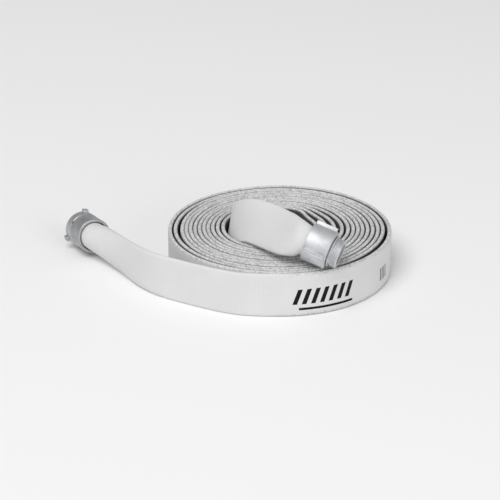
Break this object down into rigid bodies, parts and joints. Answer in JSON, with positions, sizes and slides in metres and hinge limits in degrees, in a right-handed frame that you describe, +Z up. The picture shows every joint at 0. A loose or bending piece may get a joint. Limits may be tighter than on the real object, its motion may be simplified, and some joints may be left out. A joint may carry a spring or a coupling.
{
  "type": "rolled fire hose",
  "caption": "Flat-rolled double-jacket fire hose with a raised inner end carrying a threaded male coupling and a free outer tail carrying a female swivel coupling.",
  "frame": {"origin": "middle of the bounding box's footprint, at floor level; the roll's axis is 97.7 mm along +X and 5.4 mm along +Y from it", "axes": "+X from the free tail's coupling towards the far side of the roll, +Y away from the side that the raised coupling lies over, +Z up from the floor"},
  "size_m": [0.5936, 0.4067, 0.1604],
  "materials": {
    "outer_jacket": "woven, uncoated",
    "inner_jacket": "woven, uncoated",
    "lining": "smooth",
    "male_alloy": "satin, machined",
    "female_alloy": "satin, machined",
    "swivel_alloy": "satin, machined",
    "ring_brass": "rolled",
    "gasket_rubber": "moulded",
    "ball_steel": "ground",
    "plug_steel": "turned"
  },
  "bodies": {
    "hose": {"outer_jacket_roll": "outer_jacket", "inner_jacket_roll": "inner_jacket", "lining_roll": "lining", "outer_jacket_tail": "outer_jacket", "inner_jacket_tail": "inner_jacket", "lining_tail": "lining", "outer_jacket_inner_end": "outer_jacket", "inner_jacket_inner_end": "inner_jacket", "lining_inner_end": "lining", "male_coupling": "male_alloy", "male_expansion_ring": "ring_brass", "male_tail_gasket": "gasket_rubber", "female_bowl": "female_alloy", "female_expansion_ring": "ring_brass", "female_tail_gasket": "gasket_rubber"},
    "swivel": {"female_swivel": "swivel_alloy", "swivel_gasket": "gasket_rubber", "ball_race_plug": "plug_steel"},
    "ball_set": {"swivel_balls": "ball_steel"}
  },
  "joints": [
    {"name": "swivel_turn", "type": "hinge", "parent": "hose", "child": "swivel", "pos_m": [-0.25684, 0.08884, 0.03449], "axis": [0.4503, -0.8836, 0.1281], "continuous": true},
    {"name": "ball_set_turn", "type": "hinge", "parent": "hose", "child": "ball_set", "pos_m": [-0.25684, 0.08884, 0.03449], "axis": [0.4503, -0.8836, 0.1281], "continuous": true}
  ],
  "couplings": [
    {"joint": "ball_set_turn", "follows": "swivel_turn", "ratio": 0.5}
  ]
}
